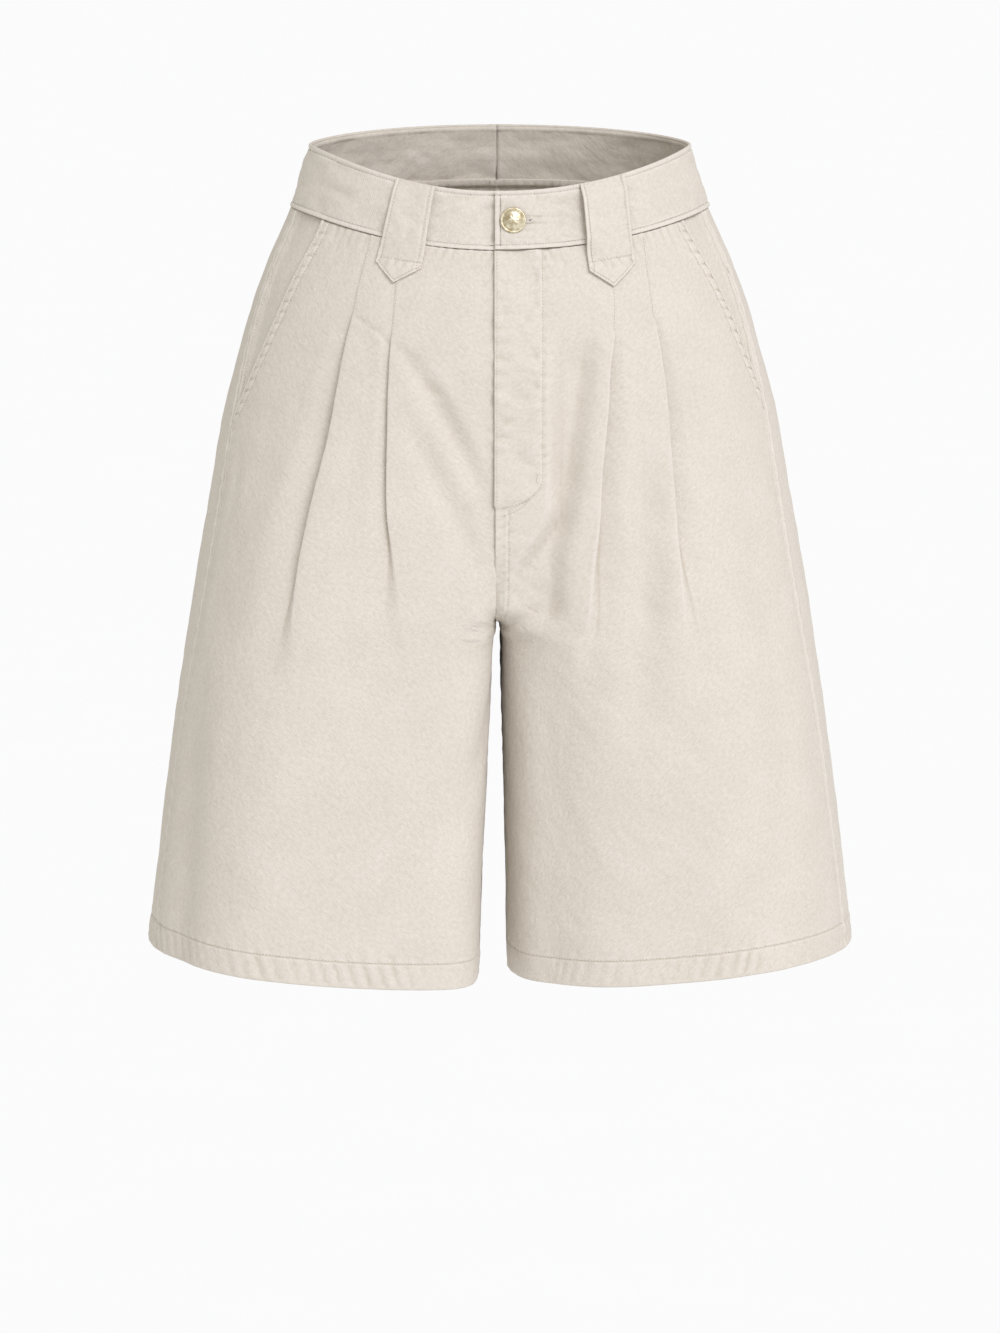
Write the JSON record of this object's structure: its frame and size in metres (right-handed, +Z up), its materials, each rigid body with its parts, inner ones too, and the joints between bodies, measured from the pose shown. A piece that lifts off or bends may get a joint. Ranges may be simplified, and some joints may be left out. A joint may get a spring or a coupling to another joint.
{
  "type": "bermuda shorts",
  "caption": "Pleated knee-length bermuda shorts in cream cotton twill, in worn shape, with a buttoned waistband, belt loops and slanted pockets.",
  "frame": {"origin": "middle of the waistband ring, halfway up the band at the side seams, where the wearer's waist holds the shorts", "axes": "+Z up through the waist, the front faces -Y, the wearer's left is +X"},
  "size_m": [0.4791, 0.268, 0.5643],
  "materials": {
    "twill": "washed cotton twill, matt",
    "brass": "pale gold, satin"
  },
  "bodies": {
    "root": {"front_left": "twill", "front_right": "twill", "back_left": "twill", "back_right": "twill", "waistband_left": "twill", "waistband_right": "twill", "belt_loop_front_left": "twill", "belt_loop_front_right": "twill", "belt_loop_back": "twill", "pocket_facing_left": "twill", "pocket_facing_right": "twill", "fly_shield": "twill", "button": "brass"}
  },
  "joints": []
}
